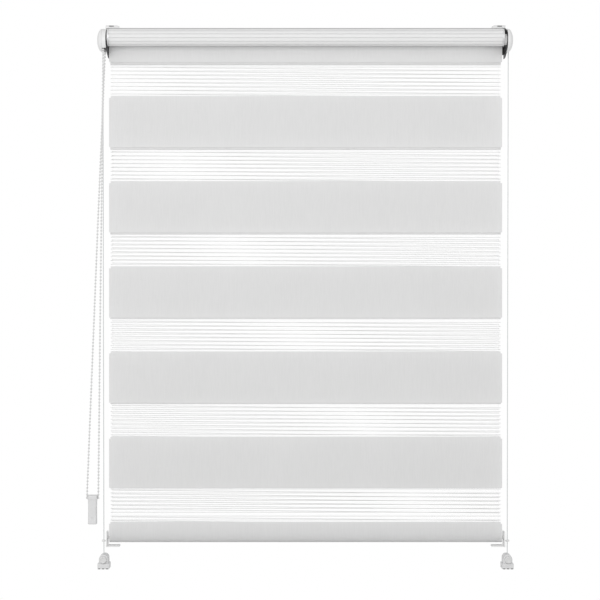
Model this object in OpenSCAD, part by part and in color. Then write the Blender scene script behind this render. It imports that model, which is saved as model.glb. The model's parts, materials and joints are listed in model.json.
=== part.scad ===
// Clamp-fit day-night roller blind with a bead chain and side guide wires.
// Millimetres. The origin is on the window plane (y = 0), midway between the
// screw holes of the two brackets and level with the roller's axis.
// +X is to the right as seen from the room, +Z is up, the room is at -Y.
// Right-hand parts are drawn at +X and mirrored for the left.

/* [Fabric] */
// Width of the fabric's opaque bands
fabric_w = 576; // [400:1:1200]
// Thickness of the fabric
fabric_t = 0.3; // [0.2:0.05:0.5]
// Distance from the roller's axis down to the hem rod's axis
drop = 731; // [500:1:1500]

/* [Roller] */
// Outer diameter of the roller tube
tube_d = 25; // [22:0.5:32]
// Wall of the roller tube
tube_wall = 1; // [0.8:0.1:2]
// Build-up of the fabric left on the tube with the blind down
wound_t = 0.7; // [0.4:0.1:1.5]
// Distance from the window plane to the roller's axis
axis_out = 32; // [30:0.5:45]

/* [Hem] */
// Diameter of the hem rod
rod_d = 13; // [8:0.5:16]
// Wall of the hem rod
rod_wall = 1; // [0.8:0.1:2]
// Gap between the hem and the guide leg under it
leg_gap = 4; // [2:0.5:8]
// Length of the guide leg under the hem
leg_l = 19.6; // [12:0.2:40]

/* [Brackets] */
// Distance from the fabric's edge in to each bracket's screw hole
screw_in = 7; // [5:0.5:9]
// Diameter of the bracket's screw hole
screw_d = 4.4; // [3:0.1:5]
// Gap between the fabric and the left bracket's plate
left_gap = 1.2; // [1:0.1:4]
// Gap between the fabric and the right bracket's plate
right_gap = 4.4; // [3:0.1:6]
// Thickness of the bracket's sheet steel
plate_t = 1.2; // [1:0.1:1.6]
// Outer diameter of the side caps
cap_d = 33.7; // [33:0.1:40]
// How far the caps' centre lies below the roller's axis
cap_drop = 4.7; // [3:0.1:5.5]
// Depth of the domed part of a side cap
dome_h = 7.6; // [6:0.1:14]
// Wall of the side caps
cap_wall = 1.2; // [1:0.1:2]

/* [Clamp] */
// Thickness of the window sash that the hooks are set to
sash_t = 15; // [12:0.5:22]
// Width of the clamp sleeve
sleeve_w = 19.6; // [16:0.2:30]
// Width of the hook's tongue
tongue_w = 6.8; // [5:0.2:10]
// Thickness of the hook's steel
hook_t = 1.1; // [0.8:0.1:1.6]

/* [Chain] */
// Diameter of the chain's beads
bead_d = 3; // [2.5:0.1:3.4]
// Distance from bead to bead
bead_pitch = 4.8; // [4.5:0.1:5]
// Beads in one turn of the sprocket
sprocket_beads = 12; // [11:1:12]

/* [Guide wires] */
// Diameter of a guide wire
wire_d = 1.2; // [0.8:0.1:1.6]
// Distance from the fabric's edge to the wire at the foot
wire_gap = 8.4; // [7:0.1:12]
// How far the wire leans outwards at its top
wire_lean = 1.6; // [0:0.1:2]

/* [Feet] */
// Width of a foot's base
foot_w = 18; // [14:0.5:26]
// Height of a foot's base
foot_base_h = 7.8; // [5:0.1:12]
// Width of a foot's domed body
dome_w = 14.1; // [11:0.1:18]
// Diameter of the clamping knob
knob_d = 10; // [8:0.2:11]
// Distance from the hem rod's axis down to the bottom of the feet
foot_below = 45.3; // [42:0.1:80]

/* [Hidden] */

$fn = 64;

// Clearances
loose = 0.3;      // between curved faces that move past each other
running = 0.06;   // radial, in a bearing
cut = 1;          // how far a cutting shape runs past a face

// Stations along X, as distances from the middle
half_w = fabric_w / 2;
screw_x = half_w - screw_in;
left_plate = half_w + left_gap;
right_plate = half_w + right_gap;
tube_half = half_w - 1.2;
flange_w = 1.2;

// Radii about the roller's axis
tube_r = tube_d / 2;
tube_in = tube_r - tube_wall;
roll_r = tube_r + wound_t;
plug_r = tube_in - 0.05;
cap_r = cap_d / 2;
cap_in = cap_r - cap_wall;
core_r = 3.5;
hub_r = 6;
pin_r = 3;
boss_r = 7.9;
boss_drop = 3.2;
spigot_r = 4.4;

// Depths
flange_t = 1.5;
rail_t = 3.6;
rail_clear = 1.15; // between the rail and the bracket's flange
hem_r = rod_d / 2 + loose + fabric_t / 2;
axis_y = -max(axis_out, flange_t + rail_clear + rail_t / 2 + 2 * hem_r + fabric_t / 2 + loose + roll_r);
front_y = axis_y + roll_r + loose + fabric_t / 2;
rod_y = front_y + hem_r;
back_y = rod_y + hem_r;
rod_z = -drop;

// Bracket
flange_in = half_w - 14.4;
bracket_top = 17;
bracket_low = -20;
plate_low = -26;
tab_z = -12;
tab_t = 1.5;
tab_end = 3;      // steel outside the wire's hole
tab_w = 6.8;

// Fixed rail for the back layer
rail_low = -9;
rail_top = 5;
rail_groove = 5;
clip_w = 1;

// Clamp
sleeve_h = 4.4;
sleeve_y = -14;
sleeve_in = flange_in + 0.4;
sleeve_gap = 0.2;
tongue_x = screw_x + 4.1;
tongue_z = bracket_top + 2.5;
slot_play = 0.1;
lip_h = 12.6;
pad_t = 1;

// Chain drive
sprocket_r = bead_pitch * sprocket_beads / (2 * PI);
bead_r = bead_d / 2;
chain_x = left_plate + plate_t + 0.4 + 0.8 + 0.2 + bead_r;
guard_x = left_plate + plate_t;
guard_w = 4.4;
chain_exit_z = -21.5;
link_gap = 1;     // bare link between the guard's beads and a strand
groove_r = sprocket_r - bead_r - loose;
rim_r = sprocket_r + 0.6;
groove_w = bead_d + 0.4;
mouth_w = 2 * (sprocket_r + bead_r + 0.6);
screw_r = 1.6;
core_in = half_w - 29;
core_out = guard_x + guard_w + 4.4;
core_flange = chain_x + bead_r + 0.2 + 0.8 + 0.4;
core_flange_t = 1.2;

// Guides
guide_x = half_w + 2.6;
guide_t = 2;
guide_w = 15;
guide_up = 8.6;
leg_t = 2;
leg_top = rod_z - hem_r - fabric_t / 2 - leg_gap;
leg_w = 12;
guide_pin_r = 2;
lift = drop - 41;  // the blind's travel
eye_h = 2.6;
eye_wall = 0.6;
eye_bar = 1.4;
eye_z = rod_z - 6.3;

// Wires
wire_r = wire_d / 2;
wire_x = half_w + wire_gap;
wire_top_z = -8;
foot_z = rod_z - foot_below;
wire_low_z = foot_z + 1.6;
wire_h = wire_top_z - wire_low_z;
wire_angle = atan(wire_lean / wire_h);
crimp_r = 1.6;
crimp_h = 4;
eye_x = wire_x + wire_lean * (eye_z - wire_low_z + lift / 2) / wire_h;
eye_half = wire_r + wire_lean * lift / wire_h / 2 + 0.35;

// Feet
dome_r = dome_w / 2;
dome_z = foot_z + foot_base_h + 6;
foot_front = rod_y - 7.1;
base_front = foot_front - 2;
pad_w = 3;
pad_h = 1.2;
pad_pitch = 5.7;
knob_gap = 0.4;
knob_h = 5.6;
shank_r = 1.94;
clamp_l = 1.3;

// Chain weight
weight_x = chain_x + 16.7;
weight_top = -666;
weight_l = 42;
collar_h = 6;
collar_w = 14.4;
collar_d = 10.4;
weight_w = 12.8;
weight_d = 9.4;
strand_out = 8.3;
slug_r = 3.2;

// Centre lines of the two strands, from the guard down to the weight, as offsets
// from the sprocket's middle. They cross on the way down.
front_route = [
    [0, -9.2, -21.5], [-0.3, -8.9, -45], [-0.6, -8.6, -70], [-1.2, -8, -120],
    [-1.8, -7.3, -170], [-2.5, -6.6, -220], [-3.2, -5.9, -270], [-3.9, -5.2, -320],
    [-4.6, -4.5, -370], [-5.3, -3.8, -420], [-5.9, -3.1, -470], [-6.5, -2.4, -520],
    [-7.2, -1.6, -570], [-7.8, -0.8, -620], [-8.2, -0.3, -650], [-8.4, 0, -671.5]
];
back_route = [
    [0, 9.2, -21.5], [-0.9, 8.9, -45], [-1.9, 8.6, -70], [-3.9, 7.9, -120],
    [-5.9, 7.2, -170], [-7.9, 6.5, -220], [-9.9, 5.8, -270], [-11.8, 5.1, -320],
    [-13.7, 4.4, -370], [-15.6, 3.7, -420], [-17.5, 3, -470], [-19.4, 2.3, -520],
    [-21.3, 1.5, -570], [-23.1, 0.7, -620], [-24.3, 0.3, -650], [-25, 0, -671.5]
];

// ---------- helpers ----------

// Mirrors a right-hand part to the left
module to_left() { mirror([1, 0, 0]) children(); }

// Extrudes a drawing in (Y, Z) along +X from x
module plate_at(x, t) {
    translate([x, 0, 0]) rotate([90, 0, 90]) linear_extrude(t) children();
}

// Cylinder along X from x0 to x1, about an axis at (y, z)
module rod_along(x0, x1, r, y = axis_y, z = 0) {
    translate([x0, y, z]) rotate([0, 90, 0]) cylinder(h = x1 - x0, r = r);
}

// Revolves a profile of [radius, x] points about an axis along X at (y, z)
module spin_about(y = axis_y, z = 0) {
    translate([0, y, z]) rotate([0, 90, 0]) rotate_extrude() children();
}

// Rectangle with round corners, centred
module rounded(w, d, r) {
    square([w - 2 * r, d], center = true);
    square([w, d - 2 * r], center = true);
    for (sx = [-1, 1], sy = [-1, 1])
        translate([sx * (w / 2 - r), sy * (d / 2 - r)]) circle(r, $fn = 32);
}

// Ring of points round a centre, in the plane of u and v
function ring(c, u, v, r, n) = [for (k = [0 : n - 1]) c + r * (cos(360 * k / n) * u + sin(360 * k / n) * v)];

// Closed tube through rings of n points each
module tube_of(rings, n) {
    m = len(rings);
    points = [for (one = rings) each one];
    sides = [for (i = [0 : m - 2], k = [0 : n - 1])
        [i * n + k, (i + 1) * n + k, (i + 1) * n + (k + 1) % n, i * n + (k + 1) % n]];
    start = [for (k = [0 : n - 1]) k];
    end = [for (k = [n - 1 : -1 : 0]) (m - 1) * n + k];
    polyhedron(points, concat([start], sides, [end]), convexity = 4);
}

// Bead-chain strand: a plain tube along its route
module strand(route) {
    n = 8;
    translate([-chain_x, axis_y, 0])
        tube_of([for (p = route) ring(p, [1, 0, 0], [0, -1, 0], bead_r, n)], n);
}

// Coil spring along X from x0 to x1, about the roller's axis
module coil(x0, x1, r, wire, turns) {
    n = 6;
    steps = 12;
    span = x1 - x0 - wire;
    centre = function (i) [x0 + wire / 2 + span * i / (turns * steps),
        r * cos(360 * i / steps), r * sin(360 * i / steps)];
    out = function (i) [0, cos(360 * i / steps), sin(360 * i / steps)];
    translate([0, axis_y, 0])
        tube_of([for (i = [0 : turns * steps]) ring(centre(i), [1, 0, 0], out(i), wire / 2, n)], n);
}

// ---------- brackets ----------

// Side view of the bracket's plate: a disc on an arm from the window
module plate_outline() {
    translate([axis_y, -cap_drop]) circle(cap_in - 0.25);
    polygon([
        [0, bracket_top], [0, plate_low], [-12, plate_low], [axis_y, -cap_drop - cap_in + 0.6],
        [axis_y, cap_in - cap_drop - 0.6], [sleeve_y, bracket_top]
    ]);
}

// Plate, wall flange and the tab that holds the wire, with a bore for the drive or the boss
module bracket(plate_x, bore_r) {
    wire_at_tab = wire_x + wire_lean * (tab_z - wire_low_z) / wire_h;
    color([0.09, 0.09, 0.1]) difference() {
        union() {
            plate_at(plate_x, plate_t) plate_outline();
            translate([flange_in, -flange_t, bracket_low])
                cube([plate_x - flange_in + plate_t / 2, flange_t, bracket_top - bracket_low]);
            translate([plate_x, rod_y - tab_w / 2, tab_z])
                cube([wire_at_tab + tab_end - plate_x, tab_w, tab_t]);
        }
        rod_along(plate_x - cut, plate_x + plate_t + cut, bore_r);
        translate([screw_x, cut, 0]) rotate([90, 0, 0]) cylinder(h = flange_t + 2 * cut, d = screw_d);
        translate([wire_at_tab, rod_y, tab_z - cut]) cylinder(h = tab_t + 2 * cut, r = wire_r + 0.1);
    }
}

module left_bracket() { to_left() bracket(left_plate, hub_r + running); }
module right_bracket() { bracket(right_plate, spigot_r); }

// ---------- clamps ----------

// Front view of the sleeve, with its inner top corner rounded off
module sleeve_outline() {
    r = 3.5;
    difference() {
        union() {
            translate([sleeve_in + r, bracket_top]) square([sleeve_w - r, sleeve_h]);
            translate([sleeve_in, bracket_top]) square([r + 0.1, sleeve_h - r]);
            translate([sleeve_in + r, bracket_top + sleeve_h - r]) circle(r);
        }
        translate([sleeve_in - cut, bracket_top - 2 * r]) square([2 * r + 2 * cut, 2 * r]);
    }
}

module clamp_sleeve() {
    depth = -sleeve_y - sleeve_gap;
    color([0.93, 0.93, 0.92]) difference() {
        translate([0, -sleeve_gap, 0]) rotate([90, 0, 0]) linear_extrude(depth) sleeve_outline();
        translate([tongue_x - tongue_w / 2 - slot_play, sleeve_y - cut, tongue_z - slot_play])
            cube([tongue_w + 2 * slot_play, depth + 2 * cut, hook_t + 2 * slot_play]);
        rod_along(sleeve_in - cut, tongue_x - tongue_w / 2, 1.25, sleeve_y / 2, tongue_z + hook_t / 2);
    }
}

module left_clamp_sleeve() { to_left() clamp_sleeve(); }
module right_clamp_sleeve() { clamp_sleeve(); }

// Tongue, crossbar and lip in one bent strip of steel
module clamp_hook() {
    back = sash_t + pad_t;
    color([0.12, 0.12, 0.13]) {
        translate([tongue_x - tongue_w / 2, sleeve_y + 0.6, tongue_z])
            cube([tongue_w, back + hook_t - sleeve_y - 0.6, hook_t]);
        translate([sleeve_in, back, tongue_z + hook_t - lip_h]) cube([sleeve_w, hook_t, lip_h]);
    }
}

module hook_pad() {
    color([0.2, 0.2, 0.21]) translate([sleeve_in + 1, sash_t, tongue_z + hook_t - lip_h + 0.6])
        cube([sleeve_w - 2, pad_t, lip_h - 3]);
}

// Set screw with a hexagon socket, pressing on the tongue's edge
module lock_screw() {
    x0 = sleeve_in + 0.6;
    x1 = tongue_x - tongue_w / 2 - 0.05;
    color([0.62, 0.62, 0.64]) difference() {
        rod_along(x0, x1, 1.25 - running, sleeve_y / 2, tongue_z + hook_t / 2);
        translate([x0 - cut, sleeve_y / 2, tongue_z + hook_t / 2]) rotate([0, 90, 0])
            cylinder(h = 1.5 + cut, r = 0.75, $fn = 6);
    }
}

module left_clamp_hook() { to_left() clamp_hook(); }
module right_clamp_hook() { clamp_hook(); }
module left_hook_pad() { to_left() hook_pad(); }
module right_hook_pad() { hook_pad(); }
module left_lock_screw() { to_left() lock_screw(); }
module right_lock_screw() { lock_screw(); }

// ---------- side caps and chain drive ----------

// Quarter ellipse from the rim to the apex, as [radius, x] points
function dome_arc(x, r, h) = [for (a = [0 : 7.5 : 90]) [r * cos(a), x + h * sin(a)]];

// Domed shell from its rim at x, with a straight collar before the dome
module end_cap(x, straight) {
    inner = dome_arc(x + straight, cap_in, dome_h - cap_wall);
    spin_about(axis_y, -cap_drop) polygon(concat(
        [[cap_in, x], [cap_r, x]], dome_arc(x + straight, cap_r, dome_h),
        [for (i = [len(inner) - 1 : -1 : 0]) inner[i]]
    ));
}

module left_end_cap() {
    x = guard_x + guard_w;
    color([0.94, 0.94, 0.93]) to_left() difference() {
        union() {
            end_cap(x, 0.6);
            intersection() {
                rod_along(core_flange + core_flange_t, x + dome_h, core_r + 1.6);
                spin_about(axis_y, -cap_drop)
                    polygon(concat([[0, x]], dome_arc(x + 0.6, cap_r - 0.4, dome_h - 0.4)));
            }
        }
        rod_along(x, core_out, core_r);
    }
}

// Room for the plate's arm in a rim that laps round the front of the plate's disc
module arm_room(plate_x) {
    translate([plate_x - cut, axis_y - 0.5, -cap_drop - 2 * cap_r])
        cube([plate_t + cut, 2 * cap_r, 4 * cap_r]);
}

module right_end_cap() {
    color([0.94, 0.94, 0.93]) difference() {
        end_cap(right_plate, plate_t + 0.2);
        arm_room(right_plate);
    }
}

// Ring round the sprocket, open below for the chain
module chain_guard() {
    color([0.94, 0.94, 0.93]) to_left() difference() {
        plate_at(left_plate, plate_t + guard_w) difference() {
            translate([axis_y, -cap_drop]) circle(cap_r);
            translate([axis_y, -cap_drop]) circle(cap_in);
        }
        arm_room(left_plate);
        translate([left_plate - cut, axis_y - mouth_w / 2, -cap_drop - cap_r - cut])
            cube([plate_t + guard_w + 2 * cut, mouth_w, cap_r]);
    }
}

module clutch_core() {
    color([0.85, 0.85, 0.84]) to_left() difference() {
        union() {
            rod_along(core_in, core_out, core_r);
            rod_along(core_flange, core_flange + core_flange_t, hub_r + 2);
        }
        rod_along(core_in - cut, core_in + 9, screw_r);
    }
}

module clutch_screw() {
    color([0.7, 0.7, 0.72]) to_left() {
        rod_along(core_in - 0.1, core_in + 8.6, screw_r);
        difference() {
            rod_along(core_in - 1.8, core_in, 4.8);
            translate([core_in - 1.6, axis_y, 0]) cube([1.2, 1, 5], center = true);
        }
    }
}

// Beads seated over the sprocket, as a plain tube
module chain_on_sprocket() {
    color([0.93, 0.93, 0.93]) to_left() translate([chain_x, axis_y, 0]) {
        rotate([90, 0, 90]) rotate_extrude(angle = 180) translate([sprocket_r, 0]) circle(bead_r);
        for (s = [-1, 1]) translate([0, s * sprocket_r, chain_exit_z + link_gap])
            cylinder(h = -chain_exit_z - link_gap, r = bead_r);
    }
}

// Sprocket with a groove for the beads, pockets in its rims, and a hub through the bracket
module chain_sprocket() {
    x0 = chain_x - groove_w / 2 - 0.8;
    x1 = chain_x + groove_w / 2 + 0.8;
    color([0.9, 0.9, 0.89]) to_left() difference() {
        union() {
            rod_along(x0, x1, rim_r);
            rod_along(half_w - 4, x0 + 0.1, hub_r);
        }
        spin_about() translate([groove_r, chain_x - groove_w / 2]) square([rim_r, groove_w]);
        for (k = [0 : sprocket_beads - 1]) translate([x0 - cut, axis_y, 0])
            rotate([360 * k / sprocket_beads, 0, 0]) translate([0, sprocket_r + 0.6, 0])
            rotate([0, 90, 0]) cylinder(h = x1 - x0 + 2 * cut, r = 1.1);
        rod_along(half_w - 5, x1 + cut, core_r + running);
    }
}

module clutch_springs() {
    first = core_in + 7;
    color([0.6, 0.6, 0.62]) to_left() {
        coil(first, first + 7.5, core_r + 0.65, 0.9, 7);
        coil(first + 8.5, first + 16, core_r + 0.65, 0.9, 7);
    }
}

// Tube plug: flange, body, and ribs that grip the tube
module tube_plug(length) {
    rod_along(tube_half, tube_half + flange_w, tube_r - 0.1);
    rod_along(tube_half - length, tube_half + 0.1, plug_r - 0.6);
    plate_at(tube_half - length, length) for (k = [0 : 5])
        translate([axis_y, 0]) rotate(60 * k) translate([plug_r - 1.4, -1]) square([1.4, 2]);
}

module drive_plug() {
    length = 26;
    color([0.88, 0.88, 0.87]) to_left() difference() {
        tube_plug(length);
        rod_along(half_w - 4, half_w + cut, hub_r);
        rod_along(tube_half - length + 3.5, half_w - 3.9, 5.2);
        rod_along(tube_half - length - cut, half_w, core_r + running);
    }
}

// ---------- idle side ----------

pin_tip = right_plate + plate_t - 1.4;
pin_stop = tube_half - 2.8;
chamber_in = tube_half - 24;
chamber_r = 4.4;

module idle_plug() {
    color([0.88, 0.88, 0.87]) difference() {
        tube_plug(27);
        rod_along(chamber_in, pin_stop, chamber_r);
        rod_along(pin_stop - 0.1, half_w + cut, pin_r + running);
    }
}

// Pin with a collar that stops inside the plug
module idle_pin() {
    color([0.72, 0.72, 0.74]) {
        rod_along(pin_stop - 2.5, pin_tip, pin_r);
        rod_along(pin_stop - 2.5, pin_stop - 0.05, chamber_r - 0.2);
    }
}

module idle_spring() {
    color([0.6, 0.6, 0.62]) coil(chamber_in + 0.05, pin_stop - 2.55, 3.3, 0.7, 9);
}

module idle_boss() {
    color([0.93, 0.93, 0.92]) difference() {
        union() {
            rod_along(half_w + 0.6, right_plate, boss_r, axis_y, -boss_drop);
            rod_along(right_plate - 0.1, right_plate + plate_t + 1, spigot_r);
        }
        rod_along(half_w, right_plate + plate_t, pin_r + running);
    }
}

// ---------- roller ----------

module roller_tube() {
    color([0.76, 0.77, 0.78]) difference() {
        rod_along(-tube_half, tube_half, tube_r);
        rod_along(-tube_half - cut, tube_half + cut, tube_in);
    }
}

module wound_fabric() {
    color([0.9, 0.9, 0.89]) difference() {
        rod_along(-half_w, half_w, roll_r);
        rod_along(-half_w - cut, half_w + cut, tube_r);
    }
}

// ---------- fixed rail and hanging fabric ----------

module back_rail() {
    x0 = -left_plate + clip_w;
    x1 = right_plate - clip_w;
    color([0.86, 0.86, 0.86]) difference() {
        translate([x0, back_y - rail_t / 2, rail_low]) cube([x1 - x0, rail_t, rail_top - rail_low]);
        translate([x0 - cut, back_y - fabric_t / 2 - 0.05, rail_low - cut])
            cube([x1 - x0 + 2 * cut, fabric_t + 0.1, rail_groove + cut]);
    }
}

// Clip that closes the rail's end and bears on the bracket
module rail_clip(plate_x) {
    color([0.92, 0.92, 0.91]) translate([plate_x - clip_w, back_y - rail_t / 2, rail_low])
        cube([clip_w, rail_t, rail_top - rail_low]);
}

module left_rail_clip() { to_left() rail_clip(left_plate); }
module right_rail_clip() { rail_clip(right_plate); }

// One flat layer of fabric between two heights
module layer(y, top) {
    color([0.9, 0.9, 0.89]) translate([-half_w, y - fabric_t / 2, rod_z])
        cube([fabric_w, fabric_t, top - rod_z]);
}

module front_fabric() { layer(front_y, 0); }
module back_fabric() { layer(back_y, rail_low + rail_groove - 0.2); }

// The fabric's turn under the rod
module hem_loop() {
    color([0.9, 0.9, 0.89]) plate_at(-half_w, fabric_w) translate([rod_y, rod_z - 0.02]) difference() {
        circle(hem_r + fabric_t / 2, $fn = 96);
        circle(hem_r - fabric_t / 2, $fn = 96);
        translate([-rod_d, 0]) square(2 * rod_d);
    }
}

// ---------- hem rod and guides ----------

rod_half = half_w - 2;
rod_plug_l = 8;

module bottom_rod() {
    color([0.8, 0.8, 0.81]) difference() {
        rod_along(-rod_half, rod_half, rod_d / 2, rod_y, rod_z);
        rod_along(-rod_half - cut, rod_half + cut, rod_d / 2 - rod_wall, rod_y, rod_z);
    }
}

module rod_plug() {
    color([0.92, 0.92, 0.91]) difference() {
        union() {
            rod_along(rod_half, rod_half + 1, rod_d / 2, rod_y, rod_z);
            rod_along(rod_half - rod_plug_l, rod_half + 0.1, rod_d / 2 - rod_wall, rod_y, rod_z);
        }
        rod_along(rod_half - rod_plug_l - cut, rod_half + 1 + cut, guide_pin_r + running, rod_y, rod_z);
    }
}

module left_rod_plug() { to_left() rod_plug(); }
module right_rod_plug() { rod_plug(); }

// Straight-sided slot shape, its centres 2 * reach apart along X
module slot_shape(reach, r) {
    for (s = [-1, 1]) translate([s * reach, 0]) circle(r, $fn = 48);
    square([2 * reach, 2 * r], center = true);
}

// Side plate, leg under the hem, pin into the rod, and eyelet on the wire
module guide() {
    eye_r = wire_r + 0.5;
    plate_z = leg_top - leg_t;
    color([0.93, 0.93, 0.92]) {
        translate([guide_x, rod_y - guide_w / 2, plate_z])
            cube([guide_t, guide_w, rod_z + guide_up - plate_z]);
        translate([guide_x + guide_t - leg_l, rod_y - leg_w / 2, plate_z])
            cube([leg_l - guide_t / 2, leg_w, leg_t]);
        translate([0, rod_y + 0.75, 0]) rotate([90, 0, 0]) linear_extrude(1.5)
            polygon([[guide_x, leg_top], [guide_x, leg_top + 2.2], [guide_x - 2.2, leg_top]]);
        rod_along(rod_half - 6, guide_x + 0.1, guide_pin_r, rod_y, rod_z);
        difference() {
            union() {
                translate([eye_x, rod_y, eye_z]) linear_extrude(eye_h)
                    slot_shape(eye_half - eye_r, eye_r + eye_wall);
                translate([guide_x + guide_t / 2, rod_y - 1.2, eye_z + (eye_h - eye_bar) / 2])
                    cube([eye_x - eye_half - guide_x - guide_t / 2, 2.4, eye_bar]);
            }
            translate([eye_x, rod_y, eye_z - cut]) linear_extrude(eye_h + 2 * cut)
                slot_shape(eye_half - eye_r, eye_r);
        }
    }
}

module left_guide() { to_left() guide(); }
module right_guide() { guide(); }

// ---------- guide wires ----------

module guide_wire() {
    color([0.9, 0.92, 0.92]) translate([wire_x, rod_y, wire_low_z]) rotate([0, wire_angle, 0])
        cylinder(h = wire_h / cos(wire_angle), r = wire_r);
}

// Crimp on the wire, its lower end at a height z
module crimp(z, h) {
    x = wire_x + wire_lean * (z + h / 2 - wire_low_z) / wire_h;
    color([0.75, 0.76, 0.77]) difference() {
        translate([x, rod_y, z]) cylinder(h = h, r = crimp_r);
        translate([wire_x, rod_y, wire_low_z]) rotate([0, wire_angle, 0])
            translate([0, 0, -cut]) cylinder(h = wire_h + 2 * cut, r = wire_r);
    }
}

module left_guide_wire() { to_left() guide_wire(); }
module right_guide_wire() { guide_wire(); }
module left_top_crimp() { to_left() crimp(tab_z + tab_t, wire_top_z - tab_z - tab_t); }
module right_top_crimp() { crimp(tab_z + tab_t, wire_top_z - tab_z - tab_t); }
module left_foot_crimp() { to_left() crimp(wire_low_z, crimp_h); }
module right_foot_crimp() { crimp(wire_low_z, crimp_h); }

// ---------- feet ----------

module foot() {
    color([0.93, 0.93, 0.92]) difference() {
        union() {
            translate([wire_x - foot_w / 2, base_front, foot_z]) cube([foot_w, -base_front, foot_base_h]);
            rotate([90, 0, 0]) linear_extrude(-foot_front) {
                translate([wire_x, dome_z]) circle(dome_r);
                translate([wire_x - dome_r, foot_z + foot_base_h - 0.1])
                    square([dome_w, dome_z - foot_z - foot_base_h + 0.1]);
            }
        }
        translate([wire_x, rod_y, foot_z - cut])
            cylinder(h = wire_low_z - foot_z + crimp_h + cut, r = crimp_r + 0.1);
        translate([wire_x, rod_y, foot_z]) cylinder(h = dome_z + dome_w - foot_z, r = wire_r + 0.12);
        translate([wire_x, rod_y + wire_r, dome_z]) rotate([90, 0, 0])
            cylinder(h = rod_y - base_front + 2 * cut, r = shank_r + running);
        for (k = [-1 : 1]) translate([wire_x + k * pad_pitch - pad_w / 2, base_front - cut, foot_z - cut])
            cube([pad_w, rod_y - crimp_r - 1 - base_front + cut, pad_h + cut]);
    }
}

// Three rubber strips let into the underside of the base
module foot_pads() {
    color([0.12, 0.12, 0.12]) for (k = [-1 : 1])
        translate([wire_x + k * pad_pitch - pad_w / 2, base_front, foot_z])
            cube([pad_w, rod_y - crimp_r - 1 - base_front, pad_h]);
}

// Knob with a shallow dish in its face, on a plain shank
module knob() {
    face = foot_front - knob_gap - knob_h;
    shank_end = rod_y - wire_r - clamp_l - 0.1;
    color([0.95, 0.95, 0.94]) translate([wire_x, 0, dome_z]) rotate([90, 0, 0]) rotate_extrude()
        polygon([
            [0, -shank_end], [shank_r, -shank_end], [shank_r, -foot_front + knob_gap],
            [knob_d / 2, -foot_front + knob_gap], [knob_d / 2, -face - 0.8],
            [knob_d / 2 - 0.8, -face], [knob_d / 2 - 1.6, -face], [knob_d / 2 - 2, -face - 0.5],
            [0, -face - 0.5]
        ]);
}

module clamp_plug() {
    color([0.78, 0.66, 0.35]) translate([wire_x, rod_y - wire_r - 0.02, dome_z]) rotate([90, 0, 0])
        cylinder(h = clamp_l, r = shank_r);
}

module left_foot() { to_left() foot(); }
module right_foot() { foot(); }
module left_foot_pads() { to_left() foot_pads(); }
module right_foot_pads() { foot_pads(); }
module left_knob() { to_left() knob(); }
module right_knob() { knob(); }
module left_clamp_plug() { to_left() clamp_plug(); }
module right_clamp_plug() { clamp_plug(); }

// ---------- chain and its weight ----------

module chain_front_strand() { color([0.86, 0.86, 0.86]) strand(front_route); }
module chain_back_strand() { color([0.86, 0.86, 0.86]) strand(back_route); }

module weight_body() {
    color([0.9, 0.9, 0.89]) translate([-weight_x, axis_y, weight_top - weight_l]) difference() {
        linear_extrude(weight_l - collar_h) rounded(weight_w, weight_d, 2.2);
        translate([0, 0, 2]) cylinder(h = weight_l, r = slug_r);
    }
}

// Collar with a notch on each side for the last beads of a strand
module weight_collar() {
    color([0.93, 0.93, 0.92]) translate([-weight_x, axis_y, weight_top - collar_h]) difference() {
        linear_extrude(collar_h) rounded(collar_w, collar_d, 2.4);
        for (s = [-1, 1]) translate([s * strand_out, 0, -cut]) cylinder(h = collar_h + 2 * cut, r = bead_r);
    }
}

module weight_slug() {
    color([0.5, 0.5, 0.52]) translate([-weight_x, axis_y, weight_top - weight_l + 2])
        cylinder(h = weight_l - collar_h - 2.2, r = slug_r - 0.05);
}

// ---------- nodes ----------

left_bracket();
right_bracket();
left_clamp_sleeve();
right_clamp_sleeve();
left_end_cap();
right_end_cap();
chain_guard();
clutch_core();
clutch_screw();
chain_on_sprocket();
idle_boss();
back_rail();
left_rail_clip();
right_rail_clip();
front_fabric();
back_fabric();
left_guide_wire();
right_guide_wire();
left_top_crimp();
right_top_crimp();
left_foot();
right_foot();
left_foot_pads();
right_foot_pads();
left_clamp_plug();
right_clamp_plug();
left_foot_crimp();
right_foot_crimp();
left_clamp_hook();
left_hook_pad();
right_clamp_hook();
right_hook_pad();
left_lock_screw();
right_lock_screw();
left_knob();
right_knob();
roller_tube();
wound_fabric();
drive_plug();
chain_sprocket();
clutch_springs();
idle_plug();
idle_spring();
idle_pin();
left_guide();
right_guide();
hem_loop();
bottom_rod();
left_rod_plug();
right_rod_plug();
chain_front_strand();
chain_back_strand();
weight_body();
weight_collar();
weight_slug();
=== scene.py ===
"""Looks of the day-night roller blind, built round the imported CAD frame. Metres, +Z up, room at -Y."""

import json
import math

import bmesh
import bpy
from mathutils import Matrix, Vector
from mathutils.noise import noise


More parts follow.
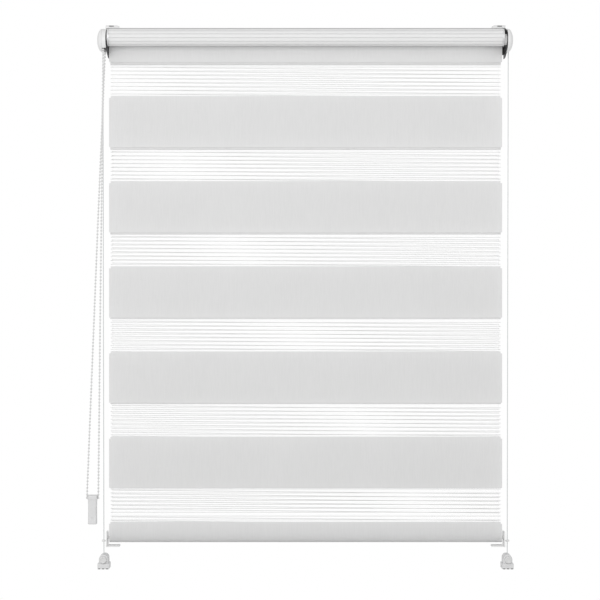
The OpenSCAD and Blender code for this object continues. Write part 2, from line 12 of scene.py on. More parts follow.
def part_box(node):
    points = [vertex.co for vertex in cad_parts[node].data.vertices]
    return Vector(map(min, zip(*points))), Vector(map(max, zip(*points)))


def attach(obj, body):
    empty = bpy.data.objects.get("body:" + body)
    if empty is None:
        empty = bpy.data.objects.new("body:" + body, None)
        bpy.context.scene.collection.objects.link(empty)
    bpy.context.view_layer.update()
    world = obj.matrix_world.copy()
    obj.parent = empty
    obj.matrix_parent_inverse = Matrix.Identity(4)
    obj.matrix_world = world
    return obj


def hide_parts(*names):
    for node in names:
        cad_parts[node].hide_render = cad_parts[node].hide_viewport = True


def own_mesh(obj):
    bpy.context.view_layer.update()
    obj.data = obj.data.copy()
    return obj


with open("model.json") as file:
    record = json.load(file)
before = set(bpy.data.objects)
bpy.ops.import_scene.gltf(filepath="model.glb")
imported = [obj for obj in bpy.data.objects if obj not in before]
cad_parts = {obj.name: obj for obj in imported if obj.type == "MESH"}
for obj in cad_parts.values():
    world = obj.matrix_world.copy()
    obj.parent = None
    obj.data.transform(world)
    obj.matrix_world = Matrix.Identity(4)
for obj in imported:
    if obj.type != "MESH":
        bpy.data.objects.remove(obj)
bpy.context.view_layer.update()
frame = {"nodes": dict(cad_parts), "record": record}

MM = 0.001


# ---------- facts read from the frame ----------


def middle(node):
    lo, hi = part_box(node)
    return (lo + hi) / 2


ROLL_LO, ROLL_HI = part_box("wound_fabric")
AXIS = (ROLL_LO + ROLL_HI) / 2                      # roller's axis, at the middle of its length
ROLL_R = (ROLL_HI.z - ROLL_LO.z) / 2
HALF_W = ROLL_HI.x
FRONT_Y = middle("front_fabric").y
BACK_Y = middle("back_fabric").y
BACK_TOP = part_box("back_fabric")[1].z
ROD = middle("bottom_rod")
HEM_R = (BACK_Y - FRONT_Y) / 2

# Bands of the day-night cloth, as lengths along it
PERIOD = 124.8 * MM
SHEER = 49.5 * MM
SHEER_INSET = 2.4 * MM                              # a sheer band is this much narrower at each edge
NARROW = 3 * MM                                     # opaque cloth under a front sheer band that is as narrow
RIBS = 9
RIB_PITCH = 5.65 * MM
RIB_H = 0.85 * MM
FRONT_SHEER = -33.5 * MM                            # top of the first sheer band of each layer
BACK_SHEER = -36 * MM
FRONT_RIB = 1.6 * MM                                # from a sheer band's top to its first rib
BACK_RIB = 2.4 * MM
SKEW = 2.8 * MM                                     # the back layer hangs this much out of square by mid-width
STIFF = 35.5 * MM                                   # cloth above the rod that stays flat as the blind is raised


# ---------- camera ----------

CAM_DISTANCE = 2.0
cam = bpy.data.objects.new("camera", bpy.data.cameras.new("camera"))
bpy.context.scene.collection.objects.link(cam)
cam.location = (-8.2 * MM, FRONT_Y - CAM_DISTANCE, -382.1 * MM)
cam.rotation_euler = (math.radians(90), 0, 0)
cam.data.sensor_width = 36
cam.data.lens = 81.9
cam.data.clip_end = 50
bpy.context.scene.camera = cam


# ---------- mesh helpers ----------

def add_mesh(name, verts, faces, materials, body, indices=None, smooth=True):
    """A piece from points and faces, riding on a CAD body."""
    mesh = bpy.data.meshes.new(name)
    mesh.from_pydata([tuple(v) for v in verts], [], faces)
    for m in materials:
        mesh.materials.append(m)
    if indices:
        mesh.polygons.foreach_set("material_index", indices)
    mesh.polygons.foreach_set("use_smooth", [smooth] * len(mesh.polygons))
    mesh.update()
    obj = bpy.data.objects.new(name, mesh)
    bpy.context.scene.collection.objects.link(obj)
    if body:
        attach(obj, body)
    return obj


def smooth_by_angle(obj, degrees=35):
    """Smooth shading, with sharp edges kept where the surface turns by more than the angle."""
    bm = bmesh.new()
    bm.from_mesh(obj.data)
    for e in bm.edges:
        e.smooth = len(e.link_faces) == 2 and e.calc_face_angle(0) < math.radians(degrees)
    for f in bm.faces:
        f.smooth = True
    bm.to_mesh(obj.data)
    bm.free()


def soften(node, material, bevel=0.3 * MM, segments=2, angle=32):
    """A copy of a CAD node with its hard edges rounded over, in place of the node."""
    source = frame["nodes"][node]
    body = next(b for b, nodes in frame["record"]["behaviour"]["bodies"].items() if node in nodes)
    bm = bmesh.new()
    bm.from_mesh(source.data)
    bmesh.ops.remove_doubles(bm, verts=bm.verts, dist=0.005 * MM)
    bmesh.ops.dissolve_limit(bm, angle_limit=math.radians(1), verts=bm.verts, edges=bm.edges)
    sharp = [e for e in bm.edges if len(e.link_faces) == 2 and e.calc_face_angle(0) > math.radians(angle)]
    bmesh.ops.bevel(bm, geom=sharp, offset=bevel, segments=segments, profile=0.5, affect="EDGES",
                    clamp_overlap=True)
    mesh = bpy.data.meshes.new(node + "_look")
    bm.to_mesh(mesh)
    bm.free()
    mesh.materials.append(material)
    obj = bpy.data.objects.new(mesh.name, mesh)
    bpy.context.scene.collection.objects.link(obj)
    smooth_by_angle(obj, 40)
    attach(obj, body)
    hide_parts(node)
    return obj


def lathe(profile, y, z, turns):
    """Points and faces of a profile of (radius, x) pairs, closed, turned about an axis along X."""
    n = len(profile)
    verts = []
    for k in range(turns):
        a = 2 * math.pi * k / turns
        verts += [(x, y + r * math.cos(a), z + r * math.sin(a)) for r, x in profile]
    faces = [(k * n + i, k * n + (i + 1) % n, (k + 1) % turns * n + (i + 1) % n, (k + 1) % turns * n + i)
             for k in range(turns) for i in range(n)]
    return verts, faces


def lay_along(points, spacing):
    """Points at equal steps along a route."""
    out, rest = [Vector(points[0])], spacing
    for a, b in zip(points, points[1:]):
        a, b = Vector(a), Vector(b)
        gap, done = (b - a).length, 0.0
        while gap - done >= rest:
            done += rest
            out.append(a.lerp(b, done / gap))
            rest = spacing
        rest -= gap - done
    return out


def tube_faces(verts, faces, centres, radius, sides, across=Vector((1, 0, 0))):
    """Adds a closed tube along the centres to the lists."""
    start = len(verts)
    for i, c in enumerate(centres):
        ahead = centres[min(i + 1, len(centres) - 1)] - centres[max(i - 1, 0)]
        v = ahead.cross(across).normalized()
        u = v.cross(ahead).normalized()
        verts += [c + radius * (math.cos(2 * math.pi * k / sides) * u + math.sin(2 * math.pi * k / sides) * v)
                  for k in range(sides)]
    for i in range(len(centres) - 1):
        a, b = start + i * sides, start + (i + 1) * sides
        faces += [(a + k, a + (k + 1) % sides, b + (k + 1) % sides, b + k) for k in range(sides)]
    faces.append(tuple(start + k for k in reversed(range(sides))))
    faces.append(tuple(start + (len(centres) - 1) * sides + k for k in range(sides)))


def ball_faces(verts, faces, centre, radius, rings=7, sides=12):
    """Adds one bead to the lists."""
    start = len(verts)
    verts.append(centre + Vector((0, 0, radius)))
    for i in range(1, rings):
        a = math.pi * i / rings
        verts += [centre + radius * Vector((math.sin(a) * math.cos(2 * math.pi * k / sides),
                                            math.sin(a) * math.sin(2 * math.pi * k / sides), math.cos(a)))
                  for k in range(sides)]
    verts.append(centre - Vector((0, 0, radius)))
    last = len(verts) - 1
    for k in range(sides):
        faces.append((start, start + 1 + k, start + 1 + (k + 1) % sides))
        faces.append((last, last - sides + (k + 1) % sides, last - sides + k))
    for i in range(rings - 2):
        a, b = start + 1 + i * sides, start + 1 + (i + 1) * sides
        faces += [(a + k, b + k, b + (k + 1) % sides, a + (k + 1) % sides) for k in range(sides)]


# ---------- materials ----------

def new_material(name, colour, rough, **sockets):
    m = bpy.data.materials.new(name)
    m.use_nodes = True
    shader = m.node_tree.nodes["Principled BSDF"]
    shader.inputs["Base Color"].default_value = (*colour, 1)
    shader.inputs["Roughness"].default_value = rough
    for key, value in sockets.items():
        shader.inputs[key.replace("_", " ")].default_value = value
    return m, m.node_tree, shader


def noise_node(tree, scale, detail=4, stretch=None):
    coords = tree.nodes.new("ShaderNodeTexCoord")
    texture = tree.nodes.new("ShaderNodeTexNoise")
    texture.inputs["Scale"].default_value = scale
    texture.inputs["Detail"].default_value = detail
    source = coords.outputs["Object"]
    if stretch:
        mapping = tree.nodes.new("ShaderNodeMapping")
        mapping.inputs["Scale"].default_value = stretch
        tree.links.new(source, mapping.inputs["Vector"])
        source = mapping.outputs["Vector"]
    tree.links.new(source, texture.inputs["Vector"])
    return texture.outputs["Fac"]


def ramp(tree, fac, low, high, start=0.35, end=0.65):
    node = tree.nodes.new("ShaderNodeValToRGB")
    node.color_ramp.elements[0].position = start
    node.color_ramp.elements[1].position = end
    node.color_ramp.elements[0].color = (*low, 1)
    node.color_ramp.elements[1].color = (*high, 1)
    tree.links.new(fac, node.inputs["Fac"])
    return node.outputs["Color"]


def spread(tree, fac, low, high):
    node = tree.nodes.new("ShaderNodeMapRange")
    node.inputs["From Min"].default_value = 0.3
    node.inputs["From Max"].default_value = 0.7
    node.inputs["To Min"].default_value = low
    node.inputs["To Max"].default_value = high
    tree.links.new(fac, node.inputs["Value"])
    return node.outputs["Result"]


def bump(tree, shader, height, strength, distance):
    node = tree.nodes.new("ShaderNodeBump")
    node.inputs["Strength"].default_value = strength
    node.inputs["Distance"].default_value = distance
    tree.links.new(height, node.inputs["Height"])
    tree.links.new(node.outputs["Normal"], shader.inputs["Normal"])


def moulded(name, colour, rough, grain=0.15, **sockets):
    """Moulded plastic: faint mottling, uneven gloss and a fine surface grain."""
    m, tree, shader = new_material(name, colour, rough, **sockets)
    dark = [c * 0.965 for c in colour]
    tree.links.new(ramp(tree, noise_node(tree, 180), dark, colour), shader.inputs["Base Color"])
    tree.links.new(spread(tree, noise_node(tree, 420), rough - 0.06, rough + 0.08), shader.inputs["Roughness"])
    bump(tree, shader, noise_node(tree, 2600, 2), grain, 0.05 * MM)
    return m


def metal(name, colour, rough, stretch, **sockets):
    """Metal with drawn or brushed lines along one axis."""
    m, tree, shader = new_material(name, colour, rough, Metallic=1.0, **sockets)
    dark = [c * 0.85 for c in colour]
    lines = noise_node(tree, 900, 3, stretch)
    tree.links.new(ramp(tree, lines, dark, colour), shader.inputs["Base Color"])
    tree.links.new(spread(tree, lines, rough - 0.08, rough + 0.12), shader.inputs["Roughness"])
    bump(tree, shader, lines, 0.12, 0.03 * MM)
    return m


def painted(name, colour, rough):
    """Powder-coated steel: orange-peel bump and slightly rubbed gloss."""
    m, tree, shader = new_material(name, colour, rough)
    light = [c * 1.8 + 0.01 for c in colour]
    tree.links.new(ramp(tree, noise_node(tree, 260), colour, light, 0.45, 0.75), shader.inputs["Base Color"])
    tree.links.new(spread(tree, noise_node(tree, 700), rough - 0.1, rough + 0.12), shader.inputs["Roughness"])
    bump(tree, shader, noise_node(tree, 1500, 2), 0.3, 0.08 * MM)
    return m


def woven(name, colour, alpha, thread, glow=0.0):
    """Plain-weave cloth: crossed threads in the bump, long slubs in the colour, and light let through from behind."""
    m, tree, shader = new_material(name, colour, 0.86, Alpha=alpha)
    shader.inputs["Sheen Weight"].default_value = 0.12
    shader.inputs["Specular IOR Level"].default_value = 0.2
    coords = tree.nodes.new("ShaderNodeTexCoord")
    waves = []
    for axis in ("X", "Z"):
        wave = tree.nodes.new("ShaderNodeTexWave")
        wave.bands_direction = axis
        wave.inputs["Scale"].default_value = 0.314 / thread
        wave.inputs["Distortion"].default_value = 0.6
        wave.inputs["Detail Scale"].default_value = 2
        tree.links.new(coords.outputs["Object"], wave.inputs["Vector"])
        waves.append(wave.outputs["Fac"])
    both = tree.nodes.new("ShaderNodeMath")
    both.operation = "MULTIPLY"
    tree.links.new(waves[0], both.inputs[0])
    tree.links.new(waves[1], both.inputs[1])
    bump(tree, shader, both.outputs[0], 0.2, 0.06 * MM)
    slubs = noise_node(tree, 1, 3, (900, 900, 60))
    patches = noise_node(tree, 14, 3)
    mixed = tree.nodes.new("ShaderNodeMath")
    mixed.operation = "MULTIPLY_ADD"
    mixed.inputs[1].default_value = 0.75
    quarter = tree.nodes.new("ShaderNodeMath")
    quarter.operation = "MULTIPLY"
    quarter.inputs[1].default_value = 0.25
    tree.links.new(patches, quarter.inputs[0])
    tree.links.new(slubs, mixed.inputs[0])
    tree.links.new(quarter.outputs[0], mixed.inputs[2])
    dark = [c * 0.975 for c in colour]
    shade = ramp(tree, mixed.outputs[0], dark, colour, 0.38, 0.6)
    tree.links.new(shade, shader.inputs["Base Color"])
    if glow:
        through = tree.nodes.new("ShaderNodeBsdfTranslucent")
        tree.links.new(shade, through.inputs["Color"])
        blend = tree.nodes.new("ShaderNodeMixShader")
        blend.inputs["Fac"].default_value = glow
        tree.links.new(shader.outputs["BSDF"], blend.inputs[1])
        tree.links.new(through.outputs["BSDF"], blend.inputs[2])
        tree.links.new(blend.outputs["Shader"], tree.nodes["Material Output"].inputs["Surface"])
    return m


WHITE = moulded("white_plastic", (0.76, 0.76, 0.76), 0.38)
DULL_WHITE = moulded("dull_white_plastic", (0.68, 0.68, 0.685), 0.42)
GLOSS = moulded("gloss_white_plastic", (0.68, 0.68, 0.68), 0.16, 0.05, Coat_Weight=0.3)
CLEAR_WHITE = moulded("chain_plastic", (0.66, 0.66, 0.66), 0.3)
# Black for the clamp hooks; on the brackets this black is painted shade in the narrow gaps between the roll's ends,
# the caps and the chain housing
BLACK_AND_GAP_SHADE = painted("black_steel", (0.018, 0.018, 0.02), 0.42)
STEEL = metal("steel", (0.62, 0.62, 0.63), 0.28, (0.15, 1, 1))
WIRE = moulded("coated_wire", (0.6, 0.62, 0.62), 0.25)
ALUMINIUM = metal("aluminium", (0.75, 0.76, 0.77), 0.5, (0.05, 1, 1))
BRASS = metal("brass", (0.72, 0.55, 0.24), 0.3, (1, 0.2, 1))
# Black rubber for the hook pads; on the feet the black pads are painted shade, filling notches in the foot's bottom
# so that they show dark
RUBBER_AND_NOTCH_SHADE = moulded("rubber", (0.03, 0.03, 0.03), 0.75, 0.4)
OPAQUE = woven("opaque_weave", (0.83, 0.83, 0.83), 1.0, 0.45 * MM, 0.42)
# The wound cloth is the same cloth as the opaque weave, given a darker grey where it lies on the roll: painted shade
ROLLED_SHADED = woven("rolled_weave_shaded", (0.77, 0.77, 0.77), 1.0, 0.45 * MM)
VOILE = woven("sheer_voile", (0.9, 0.9, 0.9), 0.06, 0.6 * MM)
RIB = woven("rib_thread", (0.92, 0.92, 0.92), 1.0, 0.3 * MM, 0.3)
# The ribs on the roll take a much darker grey than the rib thread: painted shade, for the dark lines the ribs make on
# the roll
ROLLED_RIB_SHADE = woven("rolled_rib_shade_lines", (0.62, 0.62, 0.62), 1.0, 0.3 * MM)


# ---------- chain ----------

BEAD_R = 1.5 * MM
BEAD_PITCH = 4.8 * MM
FRONT_ROUTE = [                                     # offsets from the sprocket's middle; the strands cross
    (0, -9.2, -21.5), (-0.3, -8.9, -45), (-0.6, -8.6, -70), (-1.2, -8, -120),
    (-1.8, -7.3, -170), (-2.5, -6.6, -220), (-3.2, -5.9, -270), (-3.9, -5.2, -320),
    (-4.6, -4.5, -370), (-5.3, -3.8, -420), (-5.9, -3.1, -470), (-6.5, -2.4, -520),
    (-7.2, -1.6, -570), (-7.8, -0.8, -620), (-8.2, -0.3, -650), (-8.4, 0, -671.5),
]
BACK_ROUTE = [
    (0, 9.2, -21.5), (-0.9, 8.9, -45), (-1.9, 8.6, -70), (-3.9, 7.9, -120),
    (-5.9, 7.2, -170), (-7.9, 6.5, -220), (-9.9, 5.8, -270), (-11.8, 5.1, -320),
    (-13.7, 4.4, -370), (-15.6, 3.7, -420), (-17.5, 3, -470), (-19.4, 2.3, -520),
    (-21.3, 1.5, -570), (-23.1, 0.7, -620), (-24.3, 0.3, -650), (-25, 0, -671.5),
]
SPROCKET = Vector((middle("chain_on_sprocket").x, AXIS.y, AXIS.z))


def beads_along(name, route, node, body):
    """Balls on a thin core along a route, in place of a CAD tube."""
    verts, faces = [], []
    centres = lay_along(route, BEAD_PITCH)
    tube_faces(verts, faces, [Vector(p) for p in route], 0.45 * MM, 8)
    for c in centres:
        ball_faces(verts, faces, c, BEAD_R)
    obj = add_mesh(name, verts, faces, [CLEAR_WHITE], body)
    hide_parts(node)
    return obj


def strand(name, route, node):
    points = [SPROCKET + Vector(p) * MM for p in route]
    down = (points[1] - points[0]).normalized()
    obj = beads_along(name, [points[0] + down * BEAD_R * 0.6] + points[1:], node, "chain")
    return obj


# ---------- chain weight ----------

def rounded_loop(w, d, r, z, n=6):
    """Closed outline of a round-cornered rectangle at a height z, as offsets."""
    out = []
    for sx, sy, start in ((1, 1, 0), (-1, 1, 90), (-1, -1, 180), (1, -1, 270)):
        for k in range(n + 1):
            a = math.radians(start + 90 * k / n)
            out.append(Vector((sx * (w / 2 - r) + r * math.cos(a), sy * (d / 2 - r) + r * math.sin(a), z)))
    return out


def loft(loops):
    """Points and faces through loops of equal length, with both ends closed."""
    n = len(loops[0])
    verts = [p for loop in loops for p in loop]
    faces = []
    for i in range(len(loops) - 1):
        a, b = i * n, (i + 1) * n
        faces += [(a + k, a + (k + 1) % n, b + (k + 1) % n, b + k) for k in range(n)]
    faces.append(tuple(reversed(range(n))))
    faces.append(tuple((len(loops) - 1) * n + k for k in range(n)))
    return verts, faces


def make_weight():
    """Weight body with rounded ends and a slight taper, and a moulded sink mark low on its front."""
    lo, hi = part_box("weight_body")
    w, d = hi.x - lo.x, hi.y - lo.y
    c = (lo + hi) / 2
    loops = []
    r = 2.2 * MM
    for t, inset in ((0, 1.0), (0.15, 0.55), (0.45, 0.2), (1.0, 0.0)):
        loops.append(rounded_loop(w - 2 * inset * MM, d - 2 * inset * MM, r - inset * MM * 0.6, lo.z + t * MM))
    for k in range(1, 24):
        z = lo.z + MM + (hi.z - lo.z - MM) * k / 23
        waist = 0.25 * MM * math.sin(math.pi * k / 23)
        loops.append(rounded_loop(w - 2 * waist, d - 2 * waist, r, z))
    verts, faces = loft(loops)
    verts = [v + Vector((c.x, c.y, 0)) for v in verts]
    obj = add_mesh("chain_weight", verts, faces, [DULL_WHITE], None)
    bm = bmesh.new()
    bm.from_mesh(obj.data)
    bmesh.ops.recalc_face_normals(bm, faces=bm.faces)
    bm.to_mesh(obj.data)
    bm.free()
    cutter_verts, cutter_faces = [], []
    ball_faces(cutter_verts, cutter_faces, Vector((c.x, lo.y - 1.1 * MM, lo.z + 9 * MM)), 2.0 * MM, 16, 32)
    cutter = add_mesh("sink_mark", cutter_verts, cutter_faces, [WHITE], None)
    boolean = obj.modifiers.new("mark", "BOOLEAN")
    boolean.operation, boolean.object = "DIFFERENCE", cutter
    bpy.context.view_layer.update()
    made = bpy.data.meshes.new_from_object(obj.evaluated_get(bpy.context.evaluated_depsgraph_get()))
    obj.modifiers.clear()
    obj.data = made
    bpy.data.objects.remove(cutter)
    smooth_by_angle(obj, 40)
    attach(obj, "chain")
    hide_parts("weight_body")
    return obj


weight = make_weight()
collar = soften("weight_collar", DULL_WHITE, 0.35 * MM, 3)
front_strand = strand("chain_front", FRONT_ROUTE, "chain_front_strand")
back_strand = strand("chain_back", BACK_ROUTE, "chain_back_strand")


def sprocket_chain():
    """The beads seated over the sprocket, from one strand's top to the other's."""
    lo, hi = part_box("chain_on_sprocket")
    x, y = (lo.x + hi.x) / 2, (lo.y + hi.y) / 2
    r = (hi.y - lo.y) / 2 - BEAD_R
    exit_z = FRONT_ROUTE[0][2] * MM
    count = round(math.pi * r / BEAD_PITCH)
    arc = [Vector((x, y - r * math.cos(math.pi * k / (8 * count)), AXIS.z + r * math.sin(math.pi * k / (8 * count))))
           for k in range(8 * count + 1)]
    route = [Vector((x, y - r, exit_z + 0.5 * MM))] + arc + [Vector((x, y + r, exit_z + 0.5 * MM))]
    verts, faces = [], []
    tube_faces(verts, faces, route, 0.45 * MM, 8)
    rise = -exit_z
    for k in range(count + 1):
        ball_faces(verts, faces, arc[8 * k], BEAD_R)
    for side in (-1, 1):
        for k in range(1, int(rise / BEAD_PITCH) + 1):
            ball_faces(verts, faces, Vector((x, y + side * r, AXIS.z - k * BEAD_PITCH)), BEAD_R)
    obj = add_mesh("chain_over_sprocket", verts, faces, [CLEAR_WHITE], "fixed")
    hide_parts("chain_on_sprocket")


sprocket_chain()


# ---------- cloth ----------

COLUMNS = 96


def ripple(x, z):
    """How far hanging cloth stands off its plane, always away from the roll."""
    return abs(0.35 * MM * noise(Vector((x * 9, z * 2.5, 3.1))) + 0.1 * MM * noise(Vector((x * 40, z * 12, 7.7))))


def in_sheer(z, first):
    """True where a height falls in a sheer band of a layer."""
    return (first - z) % PERIOD < SHEER and z < first + 0.5 * MM


def is_narrow(z, first):
    """True where a layer is as narrow as its sheer bands."""
    reach = SHEER + (NARROW if first == FRONT_SHEER else 0)
    return (first - z) % PERIOD < reach and z < first + 0.5 * MM


def band_heights(top, bottom, first):
    """Row heights from top to bottom, with every band edge among them."""
    edges = {round(top, 7), round(bottom, 7)}
    z = first
    while z > bottom:
        for e in (z, z - SHEER, z - SHEER - NARROW):
            if bottom < e < top:
                edges.add(round(e, 7))
        z -= PERIOD
    edges = sorted(edges, reverse=True)
    rows = [edges[0]]
    for a, b in zip(edges, edges[1:]):
        n = max(1, round((a - b) / (5 * MM)))
        rows += [a + (b - a) * k / n for k in range(1, n + 1)]
    return rows


def columns():
    inner = HALF_W - SHEER_INSET
    n = COLUMNS
    return [-HALF_W] + [-inner + 2 * inner * k / n for k in range(n + 1)] + [HALF_W]


def cloth_layer(name, rows, place, first, body):
    """Banded cloth through rows of heights; place(x, z) gives each point."""
    xs = columns()
    n = len(xs)
    verts = [place(x, z) for z in rows for x in xs]
    faces, indices = [], []
    for i in range(len(rows) - 1):
        z = (rows[i] + rows[i + 1]) / 2
        sheer, narrow = in_sheer(z, first), is_narrow(z, first)
        for k in range(n - 1):
            if narrow and k in (0, n - 2):
                continue
            faces.append((i * n + k, i * n + k + 1, (i + 1) * n + k + 1, (i + 1) * n + k))
            indices.append(1 if sheer else 0)
    return add_mesh(name, verts, faces, [OPAQUE, VOILE], body, indices)


def rib_bars(name, heights, place, body, skew=0.0):
    """Lens-shaped ribs across the sheer bands, one on each height."""
    xs = columns()[1:-1]
    verts, faces = [], []
    section = [(-0.5, 0.0), (-0.25, -0.11), (0.0, -0.15), (0.25, -0.11), (0.5, 0.0), (0.0, 0.1)]
    m = len(section)
    for h in heights:
        start = len(verts)
        for x in xs:
            z0 = h + skew * (x + HALF_W) / HALF_W + 0.04 * MM * noise(Vector((x * 30, h * 50, 1.3)))
            for dz, dy in section:
                p = place(x, z0 + dz * RIB_H)
                verts.append(Vector((p[0], p[1] + dy * MM, p[2])))
        for i in range(len(xs) - 1):
            a, b = start + i * m, start + (i + 1) * m
            faces += [(a + k, a + (k + 1) % m, b + (k + 1) % m, b + k) for k in range(m)]
        faces.append(tuple(start + k for k in reversed(range(m))))
        faces.append(tuple(start + (len(xs) - 1) * m + k for k in range(m)))
    return add_mesh(name, verts, faces, [RIB], body)


def rib_heights(first, top, bottom):
    out = []
    band = 0
    start = FRONT_RIB if first == FRONT_SHEER else BACK_RIB
    while first - band * PERIOD > bottom:
        for k in range(RIBS):
            z = first - band * PERIOD - start - k * RIB_PITCH
            if bottom + RIB_H < z < top - RIB_H:
                out.append(z)
        band += 1
    return out


def hanging(y):
    return lambda x, z: (x, y + ripple(x, z) * min(1.0, -z / (40 * MM)) * min(1.0, (z - ROD.z) / (60 * MM)), z)


SPLIT = ROD.z + STIFF


def hang_layer(name, y, top, first, skew, node):
    """A layer from its top down to just above the rod."""
    rows = band_heights(top, SPLIT, first)
    cloth = cloth_layer(name, rows, hanging(y), first, "fixed")
    ribs = rib_bars(name + "_ribs", rib_heights(first, top, SPLIT), hanging(y), "fixed", skew)
    for piece in (cloth, ribs):
        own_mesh(piece)
    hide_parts(node)
    return cloth


front = hang_layer("front_layer", FRONT_Y, AXIS.z, FRONT_SHEER, 0, "front_fabric")
back = hang_layer("back_layer", BACK_Y, BACK_TOP, BACK_SHEER, -SKEW, "back_fabric")


def hem():
    """The cloth round the rod: down the front, under the rod and up the back."""
    path = [(FRONT_Y, z, FRONT_SHEER) for z in band_heights(SPLIT, ROD.z, FRONT_SHEER)]
    for k in range(1, 24):
        a = math.pi * k / 24
        path.append((ROD.y - HEM_R * math.cos(a), ROD.z - HEM_R * math.sin(a), None))
    path += [(BACK_Y, z, BACK_SHEER) for z in reversed(band_heights(SPLIT, ROD.z, BACK_SHEER))]
    xs = columns()
    n = len(xs)
    verts = [(x, y, z) for y, z, _ in path for x in xs]
    faces, indices = [], []
    for i in range(len(path) - 1):
        (_, z0, first), (_, z1, after) = path[i], path[i + 1]
        flat = first is not None and first == after
        sheer = flat and in_sheer((z0 + z1) / 2, first)
        narrow = flat and is_narrow((z0 + z1) / 2, first)
        for k in range(n - 1):
            if narrow and k in (0, n - 2):
                continue
            faces.append((i * n + k, i * n + k + 1, (i + 1) * n + k + 1, (i + 1) * n + k))
            indices.append(1 if sheer else 0)
    cloth = add_mesh("hem_cloth", verts, faces, [OPAQUE, VOILE], "bottom_guides", indices)
    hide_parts("hem_loop")
    for name, y, first, skew in (("hem_ribs_front", FRONT_Y, FRONT_SHEER, 0),
                                 ("hem_ribs_back", BACK_Y, BACK_SHEER, -SKEW)):
        heights = [z for z in rib_heights(first, 0, ROD.z) if z < SPLIT - RIB_H]
        rib_bars(name, heights, lambda x, z, y=y: (x, y, z), "bottom_guides", skew)


hem()


def wound():
    """The cloth on the roller: a spiral that ends where the front layer leaves it, over the top and at the back."""
    turns = 2.0
    tube_r = (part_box("roller_tube")[1].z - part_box("roller_tube")[0].z) / 2
    leave_r = FRONT_Y - AXIS.y
    steps = 96
    total = int(turns * steps)
    sheer_from, sheer_to = math.radians(96), math.radians(276)

    def radius(a):
        """Radius at an angle wound back from the tangent point at the back of the roll."""
        grow = (ROLL_R - tube_r - 0.1 * MM) * (1 - a / (2 * math.pi * turns))
        ease = max(0.0, 1 - a / math.pi)
        return tube_r + 0.1 * MM + grow + (leave_r - ROLL_R) * ease * ease

    xs = columns()
    n = len(xs)
    angles = [2 * math.pi * turns * k / total for k in range(total + 1)]
    verts = [(x, AXIS.y + radius(a) * math.cos(a), AXIS.z + radius(a) * math.sin(a)) for a in angles for x in xs]
    faces, indices = [], []
    for i in range(total):
        a = (angles[i] + angles[i + 1]) / 2
        sheer = sheer_from < a < sheer_to
        for k in range(n - 1):
            if a > sheer_from and k in (0, n - 2):
                continue
            faces.append((i * n + k, i * n + k + 1, (i + 1) * n + k + 1, (i + 1) * n + k))
            indices.append(1 if sheer else 0)
    # The wound cloth takes a darker copy of the cloth colour: painted shade on the roll
    cloth = add_mesh("wound_cloth", verts, faces, [ROLLED_SHADED, VOILE], "roller", indices)
    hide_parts("wound_fabric")

    section = [(-0.5, 0.0), (-0.3, 0.14), (0.0, 0.2), (0.3, 0.14), (0.5, 0.0)]
    verts, faces = [], []
    a = sheer_from - math.radians(2)
    inner = xs[1:-1]
    while a < sheer_to:
        start = len(verts)
        for x in inner:
            for da, dr in section:
                b = a + da * RIB_H / ROLL_R
                r = radius(b) + dr * MM + 0.02 * MM
                verts.append((x, AXIS.y + r * math.cos(b), AXIS.z + r * math.sin(b)))
        m = len(section)
        for i in range(len(inner) - 1):
            p, q = start + i * m, start + (i + 1) * m
            faces += [(p + k, q + k, q + k + 1, p + k + 1) for k in range(m - 1)]
        a += RIB_PITCH / ROLL_R
    # Ribs on the roll in a darker grey: painted shade lines
    add_mesh("wound_ribs", verts, faces, [ROLLED_RIB_SHADE], "roller")


wound()


# ---------- brackets, clamps, caps and guards ----------

FOOT_DRAFT = 0.08                                   # the moulded foot is this much slimmer than its CAD stand-in


def slim(foot, node):
    """Draws a foot's sides in, and leaves its bores and the grooves for its pads as they are."""
    centre, low = middle(node).x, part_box(node)[0].z
    for vertex in foot.data.vertices:
        away = vertex.co.x - centre
        if vertex.co.z < low + 1.4 * MM and abs(away) < 7.4 * MM:
            continue
        share = min(1.0, max(0.0, (abs(away) - 2.5 * MM) / (4.5 * MM)))
        vertex.co.x -= away * FOOT_DRAFT * share


for side in ("left", "right"):
    # The brackets are black as painted shade for the gaps beside the roll's ends
    soften(side + "_bracket", BLACK_AND_GAP_SHADE, 0.2 * MM)
    soften(side + "_clamp_sleeve", WHITE, 0.35 * MM)
    soften(side + "_clamp_hook", BLACK_AND_GAP_SHADE, 0.2 * MM)
    soften(side + "_hook_pad", RUBBER_AND_NOTCH_SHADE, 0.2 * MM)
    soften(side + "_rail_clip", WHITE, 0.2 * MM)
    soften(side + "_guide", WHITE, 0.25 * MM)
    slim(soften(side + "_foot", DULL_WHITE, 0.4 * MM), side + "_foot")
    # Black pads in the foot's notches: painted shade, so that the notches show dark
    soften(side + "_foot_pads", RUBBER_AND_NOTCH_SHADE, 0.15 * MM)
    soften(side + "_knob", GLOSS, 0.2 * MM, 3)
    soften(side + "_rod_plug", WHITE, 0.25 * MM)
soften("chain_guard", WHITE, 0.25 * MM)
soften("chain_sprocket", WHITE, 0.15 * MM)
soften("idle_boss", WHITE, 0.3 * MM)


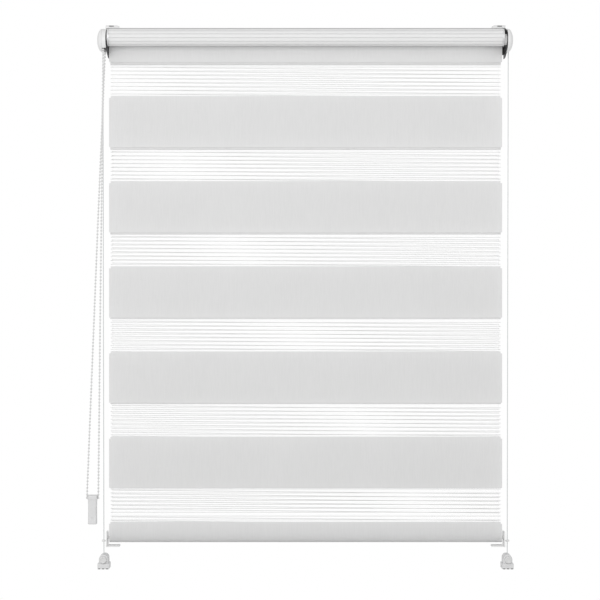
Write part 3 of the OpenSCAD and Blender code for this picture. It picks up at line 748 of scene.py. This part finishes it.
def left_cap():
    """The left side cap as a turned shell: a groove at the rim, where it meets the guard, then the dome."""
    lo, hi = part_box("left_end_cap")
    r = (hi.z - lo.z) / 2
    rim, height = hi.x, hi.x - lo.x
    wall, straight = 1.2 * MM, 0.9 * MM
    profile = [(r - wall, 0), (r - 0.75 * MM, 0), (r - 0.75 * MM, 0.7 * MM), (r - 0.3 * MM, 0.8 * MM),
               (r - 0.12 * MM, straight)]
    for k in range(1, 25):
        a = math.radians(90 * k / 24)
        profile.append(((r - 0.1 * MM) * math.cos(a), straight + (height - straight) * math.sin(a)))
    for k in range(24, -1, -1):
        a = math.radians(90 * k / 24)
        profile.append(((r - wall) * math.cos(a), straight + (height - straight - wall) * math.sin(a)))
    profile = [(max(q, 0.0), rim - x) for q, x in profile]
    verts, faces = lathe(profile, (hi.y + lo.y) / 2, (hi.z + lo.z) / 2, 128)
    obj = add_mesh("left_cap_dome", verts, faces, [WHITE], None)
    bm = bmesh.new()
    bm.from_mesh(obj.data)
    bmesh.ops.remove_doubles(bm, verts=bm.verts, dist=0.002 * MM)
    bmesh.ops.recalc_face_normals(bm, faces=bm.faces)
    bm.to_mesh(obj.data)
    bm.free()
    smooth_by_angle(obj, 40)
    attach(obj, "fixed")
    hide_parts("left_end_cap")


left_cap()
soften("right_end_cap", WHITE, 0.2 * MM, 2, 50)


# ---------- CAD nodes that keep their own shape ----------

KEPT = {
    "clutch_core": WHITE, "clutch_screw": STEEL, "drive_plug": WHITE, "clutch_springs": STEEL,
    "idle_plug": WHITE, "idle_spring": STEEL, "idle_pin": STEEL, "roller_tube": ALUMINIUM,
    "back_rail": ALUMINIUM, "bottom_rod": ALUMINIUM, "weight_slug": STEEL,
    "left_lock_screw": STEEL, "right_lock_screw": STEEL, "left_clamp_plug": BRASS, "right_clamp_plug": BRASS,
    "left_guide_wire": WIRE, "right_guide_wire": WIRE, "left_top_crimp": STEEL, "right_top_crimp": STEEL,
    "left_foot_crimp": STEEL, "right_foot_crimp": STEEL,
}
for node, material in KEPT.items():
    data = frame["nodes"][node].data
    data.materials.clear()
    data.materials.append(material)

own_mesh(frame["nodes"]["idle_spring"])


# ---------- stage and light ----------

def make_floor():
    mesh = bpy.data.meshes.new("floor")
    z = -1.0
    mesh.from_pydata([(-0.9, -0.9, z), (0.9, -0.9, z), (0.9, 0.45, z), (-0.9, 0.45, z)], [], [(0, 1, 2, 3)])
    floor = bpy.data.objects.new("floor", mesh)
    bpy.context.scene.collection.objects.link(floor)
    mesh.materials.append(moulded("pale_floor", (0.78, 0.78, 0.77), 0.6))


make_floor()


def make_world():
    """White surroundings, brighter above than below for the light that falls on the object."""
    world = bpy.data.worlds.new("studio")
    bpy.context.scene.world = world
    world.use_nodes = True
    tree = world.node_tree
    background = tree.nodes["Background"]
    coords = tree.nodes.new("ShaderNodeTexCoord")
    split = tree.nodes.new("ShaderNodeSeparateXYZ")
    tree.links.new(coords.outputs["Generated"], split.inputs["Vector"])
    grade = tree.nodes.new("ShaderNodeMapRange")
    grade.inputs["From Min"].default_value = -0.8
    grade.inputs["From Max"].default_value = 0.3
    grade.inputs["To Min"].default_value = 0.94
    grade.inputs["To Max"].default_value = 0.74
    tree.links.new(split.outputs["Z"], grade.inputs["Value"])
    path = tree.nodes.new("ShaderNodeLightPath")
    pick = tree.nodes.new("ShaderNodeMix")
    tree.links.new(path.outputs["Is Camera Ray"], pick.inputs["Factor"])
    tree.links.new(grade.outputs["Result"], pick.inputs["A"])
    pick.inputs["B"].default_value = 1.0
    tree.links.new(pick.outputs["Result"], background.inputs["Strength"])
    background.inputs["Color"].default_value = (1, 1, 1, 1)


make_world()


def area_light(name, place, aim, size, power):
    light = bpy.data.lights.new(name, "AREA")
    light.shape = "RECTANGLE"
    light.size, light.size_y = size
    light.energy = power
    obj = bpy.data.objects.new(name, light)
    bpy.context.scene.collection.objects.link(obj)
    obj.location = place
    obj.rotation_euler = (Vector(aim) - Vector(place)).to_track_quat("-Z", "Y").to_euler()


area_light("key", (-0.4, -2.4, 0.15), (0, 0, -0.35), (1.6, 1.0), 21)
bpy.context.scene.view_settings.view_transform = "Standard"
